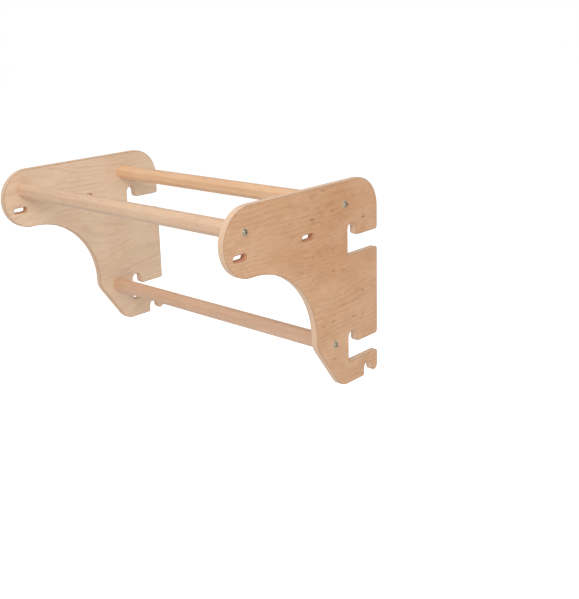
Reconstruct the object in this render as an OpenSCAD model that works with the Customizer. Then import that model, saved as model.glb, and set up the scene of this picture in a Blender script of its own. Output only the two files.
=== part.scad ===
// Pull up bar that hangs on the rungs of wall bars.
// Two equal plywood side panels carry three eight-sided rungs, each held by one bolt at each end.
// X runs across the bar, Y from the front (minus) to the back (plus), Z up. Millimetres.
// The origin is on the axis of the upper hook seats, half way between the two side panels.

/* [Overall] */
// Width over the outer faces of the two side panels
overall_w = 740; // [560:5:960]
// Depth of a side panel, from its back edge to the tip of the nose
panel_depth = 463; // [430:1:560]
// Height of a side panel
panel_h = 445; // [430:1:540]
// Thickness of the plywood of a side panel
panel_t = 15; // [10:0.5:21]

/* [Panel outline] */
// Radius of the nose
nose_r = 70; // [60:1:74]
// Radius of the upper back corner
back_corner_r = 70; // [20:1:75]
// Radius of the arch below the nose
arch_r = 178; // [150:1:185]
// Distance from the back edge to the short front edge below the arch
leg_depth = 208; // [190:1:240]
// Drop from the end of the arch to where the front edge and the slanted edge would meet
knee_drop = 18; // [17:1:60]
// Radius between the front edge and the slanted edge
knee_r = 45; // [10:1:50]
// Distance from the back edge to where the slanted and bottom edges would meet
toe_depth = 129; // [110:1:150]
// Radius between the slanted edge and the bottom edge
toe_r = 43; // [10:1:50]
// Radius of the small outer corners
corner_r = 6; // [2:0.5:8]

/* [Hooks] */
// Width of a hook seat, for a flat oval wall bar rung
seat_w = 25; // [18:0.5:30]
// Distance from the back edge to the front wall of a hook slot
slot_depth = 102; // [80:1:120]
// Height of the open mouth of a hook slot
slot_h = 38.5; // [30:0.5:44]
// Height of the floor of the lower hook slot above the bottom edge
lower_slot_z = 49; // [44:0.5:56]
// Distance between the two hook slots, one wall bar rung to the next
slot_pitch = 236.5; // [150:0.5:260]
// Height of the top of a hook seat above the lip behind it
seat_rise = 29; // [20:0.5:36]
// Radius of the lip's lower front corner
lip_r = 10; // [3:0.5:14]
// Radius in the inner corner of a hook slot
slot_inner_r = 3; // [1:0.5:6]
// Distance from the back edge to the front wall of the bottom catch
catch_depth = 48; // [42:0.5:60]
// Height of the top of the bottom catch above the bottom edge
catch_h = 28.5; // [22:0.5:32]
// Height of the catch's rounded tip above the bottom edge
tip_lift = 3; // [1:0.5:8]

/* [Strap slots] */
// Length of a strap slot from end to end
strap_len = 33; // [20:1:50]
// Width of a strap slot
strap_w = 11; // [6:0.5:16]
// Drop from the top edge to the middle of the strap slots
strap_drop = 95; // [85:0.5:105]
// Distance from the tip of the nose to the middle of the front strap slot
front_strap_inset = 41.5; // [36:0.5:60]
// Distance from the back edge to the middle of the inner strap slot
inner_strap_y = 229; // [180:0.5:300]

/* [Rungs] */
// Width of the eight-sided rungs across their flats
rung_w = 33; // [25:0.5:40]
// Radius of the softened edges between a rung's flats
rung_edge_r = 2.5; // [1:0.5:5]
// Distance from the tip of the nose to the front rung
front_rung_inset = 55; // [48:1:70]
// Distance from the back edge to the rear rung
rear_rung_y = 112; // [80:1:200]
// Drop from the top edge to the front rung and the rear rung
upper_rung_drop = 49; // [40:1:60]
// Distance from the back edge to the lower rung
lower_rung_y = 150; // [130:1:165]
// Height of the lower rung above the bottom edge
lower_rung_z = 102; // [90:1:130]

/* [Fasteners] */
// Diameter of the bolt shanks
bolt_d = 8; // [5:0.5:10]
// Length of the bolt shanks below the head
bolt_len = 35; // [28:1:45]
// Diameter of the bolt heads
head_d = 14; // [11:0.5:18]
// Height of the bolt heads
head_h = 4.4; // [3:0.1:6]
// Height of the straight rim of a bolt head
head_rim_h = 1; // [0.5:0.1:1.5]
// Width across the flats of the hexagon socket
socket_w = 5; // [3:0.5:6]
// Depth of the hexagon socket
socket_depth = 2.6; // [1.5:0.1:3]
// Outer diameter of the washers
washer_d = 17; // [16:0.5:24]
// Thickness of the washers
washer_t = 1.6; // [1:0.1:2.5]
// Outer diameter of the threaded inserts in the rung ends
insert_d = 12; // [11.5:0.5:14]
// Length of the threaded inserts
insert_len = 25; // [15:1:30]
// Diameter of the collar at the mouth of an insert
collar_d = 16; // [15:0.5:18]
// Thickness of the collar
collar_t = 1.2; // [0.8:0.1:2]
// Free depth of the bore behind the insert and the bolt
bore_spare = 3; // [1:0.5:6]

/* [Fits] */
// Clearance on the diameter of a bolt in a side panel or washer
bolt_gap = 0.6; // [0.2:0.1:1.5]
// Clearance on the diameter of an insert in its rung and of a bolt in its insert
insert_gap = 0.1; // [0.05:0.05:0.4]

/* [Hidden] */
$fn = 96;

// How far a cut runs past the face that it opens
over = 2;
hex_sides = 6;

PLY = "burlywood";
BEECH = "tan";
ZINC = "silver";
BRASS = "darkkhaki";

// The arch cuts this far into the nose's circle, so that the two arcs cross in one clear point
crossing = 0.02;

// Side of the bar that a piece is on
LEFT = -1;
RIGHT = 1;

rung_len = overall_w - 2 * panel_t;
inner_x = rung_len / 2;
outer_x = overall_w / 2;

// How far a bolt reaches into its rung, and the bore that takes the bolt and the insert
bolt_reach = bolt_len - washer_t - panel_t;
bore_len = max(insert_len, bolt_reach) + bore_spare;

// Outline points of a side panel: [distance behind the back edge, height above the bottom edge]
nose_c = [nose_r - panel_depth, panel_h - nose_r];
arch_x = -leg_depth - arch_r;
arch_drop = sqrt(pow(nose_r + arch_r - crossing, 2) - pow(arch_x - nose_c.x, 2));
arch_c = [arch_x, nose_c.y - arch_drop];
front_top = [-panel_depth, panel_h];
front_low = [-panel_depth, nose_c.y - nose_r];
top_back = [0, panel_h];
bottom_back = [0, 0];
toe = [-toe_depth, 0];
arch_end = [-leg_depth, arch_c.y];
knee = arch_end - [0, knee_drop];

upper_slot_z = lower_slot_z + slot_pitch;
slot_floors = [lower_slot_z, upper_slot_z];
seat_r = seat_w / 2;
seat_y = seat_r - slot_depth;
seat_z = slot_h + seat_rise - seat_r;
tip_w = catch_depth - seat_w;
tip_r = tip_w / 2;

// Places of the three rung axes and the two strap slots in the outline's plane
upper_rung_z = panel_h - upper_rung_drop;
front_rung_at = [front_rung_inset - panel_depth, upper_rung_z];
rear_rung_at = [-rear_rung_y, upper_rung_z];
lower_rung_at = [-lower_rung_y, lower_rung_z];
rung_places = [front_rung_at, rear_rung_at, lower_rung_at];
strap_z = panel_h - strap_drop;
strap_places = [[front_strap_inset - panel_depth, strap_z], [-inner_strap_y, strap_z]];

// The outline's plane seen from the origin: the upper hook seat is at zero
back_y = -seat_y;
bottom_z = -(upper_slot_z + seat_z);

function unit(v) = v / norm(v);

// The waste at the outer corner b, between the edges to a and c, that leaves the radius r
module corner_waste(a, b, c, r) {
    to_a = unit(a - b);
    to_c = unit(c - b);
    half_angle = acos(to_a * to_c) / 2;
    inward = unit(to_a + to_c);
    centre = b + inward * r / sin(half_angle);
    touch_a = b + to_a * r / tan(half_angle);
    touch_c = b + to_c * r / tan(half_angle);
    difference() {
        polygon([
            centre,
            touch_a + unit(touch_a - centre) * over,
            b - inward * over / sin(half_angle),
            touch_c + unit(touch_c - centre) * over
        ]);
        translate(centre) circle(r = r);
    }
}

// Half a disc on a straight base, its round side up, or down when turned
module half_disc(r, turn = 0) {
    rotate(turn) intersection() {
        circle(r = r);
        translate([-2 * r, 0]) square([4 * r, 2 * r]);
    }
}

// The waste round the nose, from the top edge to where the arch begins
module nose_waste() {
    reach = 2 * nose_r;
    difference() {
        polygon([
            nose_c,
            nose_c + unit(arch_c - nose_c) * reach,
            nose_c + [-reach, -reach],
            nose_c + [-reach, reach],
            nose_c + [0, reach]
        ]);
        translate(nose_c) circle(r = nose_r);
    }
}

// The opening of one hook: a slot from the back edge, and the seat at its inner end
module hook_opening() {
    difference() {
        translate([-slot_depth, 0]) square([slot_depth + over, slot_h]);
        corner_waste([0, 0], [-slot_depth, 0], [-slot_depth, slot_h], slot_inner_r);
    }
    translate([-slot_depth, slot_h]) square([seat_w, seat_z - slot_h]);
    translate([seat_y, seat_z]) half_disc(seat_r);
}

// The waste at the corners that a hook opening leaves in the panel
module hook_corner_waste() {
    lip = [seat_w - slot_depth, slot_h];
    corner_waste([lip.x, panel_h], lip, [0, slot_h], lip_r);
    corner_waste([lip.x, slot_h], [0, slot_h], [0, panel_h], corner_r);
    corner_waste([-slot_depth, 0], [0, 0], [0, -panel_h], corner_r);
}

// The opening of the bottom catch
module catch_opening() {
    round_z = catch_h - seat_r;
    translate([-catch_depth, -over]) square([seat_w, round_z + over]);
    translate([seat_r - catch_depth, round_z]) half_disc(seat_r);
}

// The waste round the catch's tip, which ends in a half circle
module tip_waste() {
    tip_c = [-tip_r, tip_lift + tip_r];
    difference() {
        translate([-tip_w - over, -over]) square([tip_w + 2 * over, tip_c.y + over]);
        translate(tip_c) circle(r = tip_r);
    }
}

// A strap slot with round ends, its middle at zero
module strap_slot() {
    straight = strap_len - strap_w;
    translate([-straight / 2, -strap_w / 2]) square([straight, strap_w]);
    for (side = [LEFT, RIGHT])
        translate([side * straight / 2, 0]) half_disc(strap_w / 2, -90 * side);
}

module panel_outline() {
    difference() {
        polygon([front_top, top_back, bottom_back, toe, knee, arch_end, arch_c, front_low]);
        translate(arch_c) circle(r = arch_r, $fn = 2 * $fn);
        nose_waste();
        corner_waste(front_top, top_back, bottom_back, back_corner_r);
        corner_waste(bottom_back, toe, knee, toe_r);
        corner_waste(toe, knee, arch_end, knee_r);
        for (floor_z = slot_floors) translate([0, floor_z]) {
            hook_opening();
            hook_corner_waste();
        }
        catch_opening();
        tip_waste();
        corner_waste(toe, [-catch_depth, 0], [-catch_depth, panel_h], corner_r);
        for (place = strap_places) translate(place) strap_slot();
        for (place = rung_places) translate(place) circle(d = bolt_d + bolt_gap);
    }
}

// Carries a flat shape in the outline's plane to a board whose low X face is at x
module board(x, t) {
    translate([x, back_y, bottom_z]) rotate([90, 0, 90]) linear_extrude(t) children();
}

// Carries a piece on the outward axis of a rung end to its place, +Z pointing outward
module at_rung_end(place, side, x) {
    translate([side * x, back_y + place.x, bottom_z + place.y]) rotate([0, side * 90, 0]) children();
}

module left_side_panel() {
    color(PLY) board(-outer_x, panel_t) panel_outline();
}

module right_side_panel() {
    color(PLY) board(inner_x, panel_t) panel_outline();
}

// The bore for one insert, from the rung's end face inwards
module insert_bore() {
    translate([0, 0, -collar_t]) cylinder(d = collar_d + insert_gap, h = collar_t + over);
    translate([0, 0, -bore_len]) cylinder(d = insert_d + insert_gap, h = bore_len);
}

// A rung's section: eight equal flats, one of them straight up, with softened edges between them
module rung_section() {
    reach = rung_w / 2 / cos(22.5);
    corners = [for (k = [0:7]) reach * [cos(45 * k + 22.5), sin(45 * k + 22.5)]];
    difference() {
        polygon(corners);
        for (k = [0:7])
            corner_waste(corners[(k + 7) % 8], corners[k], corners[(k + 1) % 8], rung_edge_r);
    }
}

module rung(place) {
    color(BEECH) difference() {
        at_rung_end(place, LEFT, inner_x) translate([0, 0, -rung_len])
            linear_extrude(rung_len) rung_section();
        for (side = [LEFT, RIGHT]) at_rung_end(place, side, inner_x) insert_bore();
    }
}

module front_rung() rung(front_rung_at);
module rear_rung() rung(rear_rung_at);
module lower_rung() rung(lower_rung_at);

// A button head bolt. Its head rests on the washer on the panel's outer face.
module bolt(place, side) {
    dome_h = head_h - head_rim_h;
    dome_r = (pow(head_d / 2, 2) + pow(dome_h, 2)) / (2 * dome_h);
    color(ZINC) at_rung_end(place, side, outer_x + washer_t) {
        difference() {
            intersection() {
                cylinder(d = head_d, h = head_h);
                translate([0, 0, head_h - dome_r]) sphere(r = dome_r);
            }
            translate([0, 0, head_h - socket_depth])
                cylinder(d = socket_w / cos(180 / hex_sides), h = socket_depth + over, $fn = hex_sides);
        }
        translate([0, 0, -bolt_len]) cylinder(d = bolt_d, h = bolt_len);
    }
}

module washer(place, side) {
    color(ZINC) at_rung_end(place, side, outer_x) difference() {
        cylinder(d = washer_d, h = washer_t);
        translate([0, 0, -over]) cylinder(d = bolt_d + bolt_gap, h = washer_t + 2 * over);
    }
}

// A threaded insert, flush with the end face of the rung
module insert(place, side) {
    color(BRASS) at_rung_end(place, side, inner_x) difference() {
        union() {
            translate([0, 0, -collar_t]) cylinder(d = collar_d, h = collar_t);
            translate([0, 0, -insert_len]) cylinder(d = insert_d, h = insert_len);
        }
        translate([0, 0, -insert_len - over])
            cylinder(d = bolt_d + insert_gap, h = insert_len + 2 * over);
    }
}

module bolt_front_left() bolt(front_rung_at, LEFT);
module bolt_front_right() bolt(front_rung_at, RIGHT);
module bolt_rear_left() bolt(rear_rung_at, LEFT);
module bolt_rear_right() bolt(rear_rung_at, RIGHT);
module bolt_lower_left() bolt(lower_rung_at, LEFT);
module bolt_lower_right() bolt(lower_rung_at, RIGHT);

module washer_front_left() washer(front_rung_at, LEFT);
module washer_front_right() washer(front_rung_at, RIGHT);
module washer_rear_left() washer(rear_rung_at, LEFT);
module washer_rear_right() washer(rear_rung_at, RIGHT);
module washer_lower_left() washer(lower_rung_at, LEFT);
module washer_lower_right() washer(lower_rung_at, RIGHT);

module insert_front_left() insert(front_rung_at, LEFT);
module insert_front_right() insert(front_rung_at, RIGHT);
module insert_rear_left() insert(rear_rung_at, LEFT);
module insert_rear_right() insert(rear_rung_at, RIGHT);
module insert_lower_left() insert(lower_rung_at, LEFT);
module insert_lower_right() insert(lower_rung_at, RIGHT);

left_side_panel();
right_side_panel();
front_rung();
rear_rung();
lower_rung();
bolt_front_left();
bolt_front_right();
bolt_rear_left();
bolt_rear_right();
bolt_lower_left();
bolt_lower_right();
washer_front_left();
washer_front_right();
washer_rear_left();
washer_rear_right();
washer_lower_left();
washer_lower_right();
insert_front_left();
insert_front_right();
insert_rear_left();
insert_rear_right();
insert_lower_left();
insert_lower_right();
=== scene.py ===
"""Looks of a pull up bar that hangs on wall bars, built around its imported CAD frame.

Two plywood side panels carry three eight-sided rungs, and one socket bolt with a washer and a threaded insert
holds each rung end. Everything is in metres in the frame's own axes: X runs along the rungs, Y from the front
to the back, Z up.
"""

import logging
import math
from collections.abc import Sequence
from dataclasses import dataclass, field, replace
from enum import Enum

import bmesh
import bpy
from mathutils import Matrix, Vector


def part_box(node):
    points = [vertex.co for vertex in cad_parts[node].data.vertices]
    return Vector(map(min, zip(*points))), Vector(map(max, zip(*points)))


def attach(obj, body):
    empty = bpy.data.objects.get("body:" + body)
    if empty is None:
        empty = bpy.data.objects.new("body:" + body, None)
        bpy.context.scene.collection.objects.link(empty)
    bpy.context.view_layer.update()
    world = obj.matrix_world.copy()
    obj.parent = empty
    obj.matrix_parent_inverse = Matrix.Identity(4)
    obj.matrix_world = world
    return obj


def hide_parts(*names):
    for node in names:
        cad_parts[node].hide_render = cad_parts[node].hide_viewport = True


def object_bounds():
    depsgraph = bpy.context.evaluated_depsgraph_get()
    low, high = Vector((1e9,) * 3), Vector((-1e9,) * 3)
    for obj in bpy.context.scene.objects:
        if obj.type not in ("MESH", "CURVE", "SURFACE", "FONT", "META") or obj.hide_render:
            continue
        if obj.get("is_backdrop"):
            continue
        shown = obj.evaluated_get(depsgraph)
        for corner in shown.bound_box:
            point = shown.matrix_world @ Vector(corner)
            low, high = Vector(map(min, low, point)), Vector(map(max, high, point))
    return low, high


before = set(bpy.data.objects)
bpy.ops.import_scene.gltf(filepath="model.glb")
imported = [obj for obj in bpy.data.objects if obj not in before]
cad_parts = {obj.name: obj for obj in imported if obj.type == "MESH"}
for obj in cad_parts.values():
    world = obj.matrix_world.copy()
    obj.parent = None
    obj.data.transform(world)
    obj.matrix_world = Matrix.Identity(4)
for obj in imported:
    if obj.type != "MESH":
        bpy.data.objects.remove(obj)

log = logging.getLogger("pull_up_bar")

BODY = "root"
MM = 0.001  # a millimetre in metres
SAME_POINT = 0.001 * MM
SAME_PLANE = 0.01 * MM
SHARP_ANGLE = math.radians(35)
WHITE = (1.0, 1.0, 1.0, 1.0)

Colour = tuple[float, float, float, float]
Triple = tuple[float, float, float]
Span = tuple[float, float]
SocketValue = bpy.types.NodeSocket | float | Sequence[float]


class Side(Enum):
    """The side of the bar that a piece is on. The value is the sign of its X."""

    LEFT = -1
    RIGHT = 1

    @property
    def word(self) -> str:
        """The side as the CAD nodes spell it."""
        return self.name.lower()


class RungPlace(Enum):
    """The three rungs. The value is the rung's word in the CAD nodes."""

    FRONT = "front"
    REAR = "rear"
    LOWER = "lower"


class Slot(Enum):
    """The record's material slots."""

    PLYWOOD = "panel_plywood"
    RUNG = "rung_wood"
    ZINC = "zinc_steel"
    BRASS = "insert_brass"


def srgb(red: int, green: int, blue: int) -> Colour:
    """Turns a colour as a paint chart gives it into the linear values that shaders use.

    Args:
        red: Red, 0 to 255.
        green: Green, 0 to 255.
        blue: Blue, 0 to 255.

    Returns:
        The linear colour with full alpha.
    """
    def linear(level: int) -> float:
        """One channel, from 0 to 255 to linear."""
        share = level / 255
        return share / 12.92 if share <= 0.04045 else ((share + 0.055) / 1.055) ** 2.4

    return linear(red), linear(green), linear(blue), 1.0


class Sheet:
    """A node tree with short calls for the nodes that the finishes are drawn with."""

    def __init__(self, tree: bpy.types.NodeTree) -> None:
        """Keeps the node tree that the calls add to."""
        self.tree = tree

    def put(self, socket: bpy.types.NodeSocket, value: SocketValue) -> None:
        """Links a socket to another one, or sets its own value.

        Args:
            socket: The input socket.
            value: An output socket, or a plain value.
        """
        if isinstance(value, bpy.types.NodeSocket):
            self.tree.links.new(value, socket)
        else:
            socket.default_value = value

    def node(self, kind: str, inputs: dict[str | int, SocketValue], **settings: object) -> bpy.types.Node:
        """Adds one node.

        Args:
            kind: The node's Blender type.
            inputs: Values or sockets for its inputs, by name or number.
            **settings: Properties of the node itself.

        Returns:
            The new node.
        """
        made = self.tree.nodes.new(kind)
        for name, value in settings.items():
            setattr(made, name, value)
        for key, value in inputs.items():
            self.put(made.inputs[key], value)
        return made

    def sum(self, operation: str, *values: SocketValue) -> bpy.types.NodeSocket:
        """One step of arithmetic, such as ADD or MULTIPLY, on numbers or sockets."""
        return self.node("ShaderNodeMath", dict(enumerate(values)), operation=operation).outputs[0]

    def vector(self, operation: str, *values: SocketValue) -> bpy.types.NodeSocket:
        """One step of arithmetic on vectors."""
        return self.node("ShaderNodeVectorMath", dict(enumerate(values)), operation=operation).outputs[0]

    def parts(self, vector: SocketValue) -> tuple[bpy.types.NodeSocket, ...]:
        """The X, Y and Z of a vector."""
        return tuple(self.node("ShaderNodeSeparateXYZ", {0: vector}).outputs)

    def join(self, x: SocketValue, y: SocketValue, z: SocketValue) -> bpy.types.NodeSocket:
        """A vector from its X, Y and Z."""
        return self.node("ShaderNodeCombineXYZ", {0: x, 1: y, 2: z}).outputs[0]

    def noise(self, place: SocketValue, detail: float = 2.0, roughness: float = 0.5,
              bend: float = 0.0) -> bpy.types.NodeSocket:
        """Smooth noise from 0 to 1.

        Args:
            place: Where to read it. One unit is one swell.
            detail: How many finer layers it has.
            roughness: How strong the finer layers are.
            bend: How far it is distorted.

        Returns:
            The noise's value.
        """
        inputs = {"Vector": place, "Scale": 1.0, "Detail": detail, "Roughness": roughness, "Distortion": bend}
        return self.node("ShaderNodeTexNoise", inputs).outputs[0]

    def ramp(self, value: SocketValue, low: float, high: float, start: float = 0.0,
             end: float = 1.0) -> bpy.types.NodeSocket:
        """A smooth step from start to end while value goes from low to high."""
        inputs = {"Value": value, "From Min": low, "From Max": high, "To Min": start, "To Max": end}
        return self.node("ShaderNodeMapRange", inputs, interpolation_type="SMOOTHSTEP").outputs[0]

    def blend(self, share: SocketValue, first: SocketValue, second: SocketValue) -> bpy.types.NodeSocket:
        """A colour between two colours, the second one at share 1."""
        return self.node("ShaderNodeMix", {0: share, 6: first, 7: second}, data_type="RGBA").outputs[2]

    def group(self, tree: bpy.types.NodeTree, inputs: dict[str, SocketValue]) -> bpy.types.Node:
        """Places a shared node group, with its own values.

        Args:
            tree: The shared group's node tree.
            inputs: Values or sockets for its inputs, by name.

        Returns:
            The new group node.
        """
        made = self.tree.nodes.new("ShaderNodeGroup")
        made.node_tree = tree
        for name, value in inputs.items():
            self.put(made.inputs[name], value)
        return made


class SharedGroup:
    """A shader node group that several finishes use. Subclasses say what it takes, gives and draws."""

    name: str
    takes: dict[str, tuple[str, object]]
    gives: tuple[str, ...]

    def tree(self) -> bpy.types.NodeTree:
        """The node group, made on its first use.

        Returns:
            The group's node tree.
        """
        found = bpy.data.node_groups.get(self.name)
        if found:
            return found
        made = bpy.data.node_groups.new(self.name, "ShaderNodeTree")
        for label, (kind, start) in self.takes.items():
            made.interface.new_socket(label, in_out="INPUT", socket_type=kind).default_value = start
        for label in self.gives:
            made.interface.new_socket(label, in_out="OUTPUT", socket_type="NodeSocketFloat")
        sheet = Sheet(made)
        given = self.draw(sheet, made.nodes.new("NodeGroupInput").outputs)
        sink = made.nodes.new("NodeGroupOutput")
        for label, value in given.items():
            sheet.put(sink.inputs[label], value)
        return made

    def draw(self, sheet: Sheet, taken: bpy.types.NodeOutputs) -> dict[str, SocketValue]:
        """Draws the group's nodes and returns the socket of each output by its name."""
        raise NotImplementedError


class WoodGrain(SharedGroup):
    """Growth bands, streaks and fibres of a wood surface whose grain runs along Y.

    Position is in metres: X across the rings' face, Y along the grain, Z across the bands. Scales are swells
    per metre along each of them.
    """

    name = "wood_grain"
    takes = {
        "Position": ("NodeSocketVector", (0.0, 0.0, 0.0)),
        "Bands Per Metre": ("NodeSocketFloat", 110.0),
        "Wander": ("NodeSocketFloat", 9.0),
        "Swell Across": ("NodeSocketFloat", 6.0),
        "Swell Along": ("NodeSocketFloat", 2.0),
        "Wave Height": ("NodeSocketFloat", 0.012),
    }
    gives = ("Bands", "Streaks", "Fibres", "Height")

    ripple_scale = (90.0, 15.0, 22.0)
    slice_scale = 170.0
    late_wood_sharpness = 2.2
    patch_scale = (60.0, 9.0, 30.0)
    streak_scale = (300.0, 38.0, 330.0)
    fibre_scale = (900.0, 40.0, 1300.0)
    band_relief = -0.25

    def draw(self, sheet: Sheet, taken: bpy.types.NodeOutputs) -> dict[str, SocketValue]:
        """Draws bands that wander like contour lines, broad streaks and fine fibres.

        Args:
            sheet: The group's own node tree.
            taken: The sockets of its inputs.

        Returns:
            The socket of each output, by name.
        """
        x, along, straight = sheet.parts(taken["Position"])
        waves = sheet.noise(sheet.vector("MULTIPLY", taken["Position"], self.ripple_scale), detail=2.0)
        across = sheet.sum("MULTIPLY_ADD", sheet.sum("SUBTRACT", waves, 0.5), taken["Wave Height"], straight)
        place = sheet.join(x, along, across)
        swell_across = sheet.sum("MULTIPLY", across, taken["Swell Across"])
        swell_along = sheet.sum("MULTIPLY", along, taken["Swell Along"])
        slice_x = sheet.sum("MULTIPLY", x, self.slice_scale)
        swell = sheet.noise(sheet.join(slice_x, swell_along, swell_across), detail=2.0, roughness=0.45)
        drift = sheet.sum("MULTIPLY", swell, taken["Wander"])
        count = sheet.sum("MULTIPLY_ADD", across, taken["Bands Per Metre"], drift)
        wave = sheet.sum("SINE", sheet.sum("MULTIPLY", count, math.tau))
        late_wood = sheet.sum("POWER", sheet.sum("MULTIPLY_ADD", wave, 0.5, 0.5), self.late_wood_sharpness)
        patches = sheet.noise(sheet.vector("MULTIPLY", place, self.patch_scale), detail=1.0)
        bands = sheet.sum("MULTIPLY", late_wood, sheet.ramp(patches, 0.35, 0.65, 0.1, 1.0))
        streaks = sheet.noise(sheet.vector("MULTIPLY", place, self.streak_scale), detail=3.0, roughness=0.6)
        fibres = sheet.noise(sheet.vector("MULTIPLY", place, self.fibre_scale), detail=2.0)
        height = sheet.sum("MULTIPLY_ADD", bands, self.band_relief, fibres)
        return {"Bands": bands, "Streaks": streaks, "Fibres": fibres, "Height": height}


class Flecks(SharedGroup):
    """Sparse short dashes along the grain, which runs along Y, such as pin knots and pith flecks."""

    name = "wood_flecks"
    takes = {
        "Position": ("NodeSocketVector", (0.0, 0.0, 0.0)),
        "Share": ("NodeSocketFloat", 0.06),
        "Size": ("NodeSocketFloat", 0.3),
    }
    gives = ("Mask",)

    wobble_scale = (90.0, 70.0, 160.0)
    wobble_share = 1.4
    cells_along = 30.0
    cells_across = 170.0
    slice_offset = 997.0
    size_spread = 0.9
    least_size = 0.25
    depth_spread = 0.75
    least_depth = 0.25

    def draw(self, sheet: Sheet, taken: bpy.types.NodeOutputs) -> dict[str, SocketValue]:
        """Draws one dash in the middle of some cells of a scattered pattern.

        Args:
            sheet: The group's own node tree.
            taken: The sockets of its inputs.

        Returns:
            The socket of each output, by name.
        """
        wobble = sheet.noise(sheet.vector("MULTIPLY", taken["Position"], self.wobble_scale), detail=3.0)
        x, along, across = sheet.parts(taken["Position"])
        sliced = sheet.sum("MULTIPLY", x, self.slice_offset)
        place_along = sheet.sum("MULTIPLY_ADD", along, self.cells_along, sliced)
        swayed = sheet.sum("MULTIPLY", wobble, self.wobble_share)
        place_across = sheet.sum("MULTIPLY_ADD", across, self.cells_across, swayed)
        inputs = {"Vector": sheet.join(place_along, place_across, 0.0), "Scale": 1.0}
        cells = sheet.node("ShaderNodeTexVoronoi", inputs, feature="F1", voronoi_dimensions="2D")
        lot, size_lot, depth_lot = sheet.parts(cells.outputs["Color"])
        chosen = sheet.sum("LESS_THAN", lot, taken["Share"])
        own_size = sheet.sum("MULTIPLY_ADD", size_lot, self.size_spread, self.least_size)
        edge = sheet.sum("DIVIDE", cells.outputs["Distance"], sheet.sum("MULTIPLY", taken["Size"], own_size))
        own_depth = sheet.sum("MULTIPLY_ADD", depth_lot, self.depth_spread, self.least_depth)
        dash = sheet.sum("MULTIPLY", sheet.ramp(edge, 0.3, 1.0, 1.0, 0.0), own_depth)
        return {"Mask": sheet.sum("MULTIPLY", dash, chosen)}


class Handling(SharedGroup):
    """Faint marks of use: broad smudges of the sheen, and fine scratches in changing directions."""

    name = "handling_marks"
    takes = {
        "Position": ("NodeSocketVector", (0.0, 0.0, 0.0)),
        "Smudge Scale": ("NodeSocketFloat", 18.0),
        "Scratch Scale": ("NodeSocketFloat", 260.0),
    }
    gives = ("Smudges", "Scratches")

    smudge_bend = 0.8
    scratch_bend = 3.0
    scratch_width = 0.012

    def draw(self, sheet: Sheet, taken: bpy.types.NodeOutputs) -> dict[str, SocketValue]:
        """Draws smudges from smooth noise, and scratches from the thin middle lines of bent noise.

        Args:
            sheet: The group's own node tree.
            taken: The sockets of its inputs.

        Returns:
            The socket of each output, by name.
        """
        place = sheet.vector("SCALE", taken["Position"])
        sheet.put(place.node.inputs["Scale"], taken["Smudge Scale"])
        smudges = sheet.noise(place, detail=4.0, roughness=0.6, bend=self.smudge_bend)
        fine = sheet.vector("SCALE", taken["Position"])
        sheet.put(fine.node.inputs["Scale"], taken["Scratch Scale"])
        ridges = sheet.noise(fine, detail=1.0, bend=self.scratch_bend)
        from_middle = sheet.sum("ABSOLUTE", sheet.sum("SUBTRACT", ridges, 0.5))
        line = sheet.ramp(from_middle, 0.0, self.scratch_width, 1.0, 0.0)
        scratches = sheet.sum("MULTIPLY", line, sheet.ramp(smudges, 0.5, 0.62))
        return {"Smudges": smudges, "Scratches": scratches}


class Finish:
    """One finish of the bar. Subclasses draw it on a Principled shader."""

    name: str

    def material(self) -> bpy.types.Material:
        """The finish's material, made on its first use.

        Returns:
            The material.
        """
        found = bpy.data.materials.get(self.name)
        if found:
            return found
        made = bpy.data.materials.new(self.name)
        made.use_nodes = True
        sheet = Sheet(made.node_tree)
        self.draw(sheet, made.node_tree.nodes["Principled BSDF"])
        return made

    def draw(self, sheet: Sheet, shader: bpy.types.Node) -> None:
        """Draws the finish and links it to the shader."""
        raise NotImplementedError

    @staticmethod
    def position(sheet: Sheet) -> bpy.types.NodeSocket:
        """The place on the surface, in metres in the frame."""
        return sheet.node("ShaderNodeTexCoord", {}).outputs["Object"]

    @staticmethod
    def bump(sheet: Sheet, height: SocketValue, depth: float) -> bpy.types.NodeSocket:
        """A normal from a height of 0 to 1 that is depth metres deep."""
        inputs = {"Strength": 1.0, "Distance": depth, "Height": height}
        return sheet.node("ShaderNodeBump", inputs).outputs[0]


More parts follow.
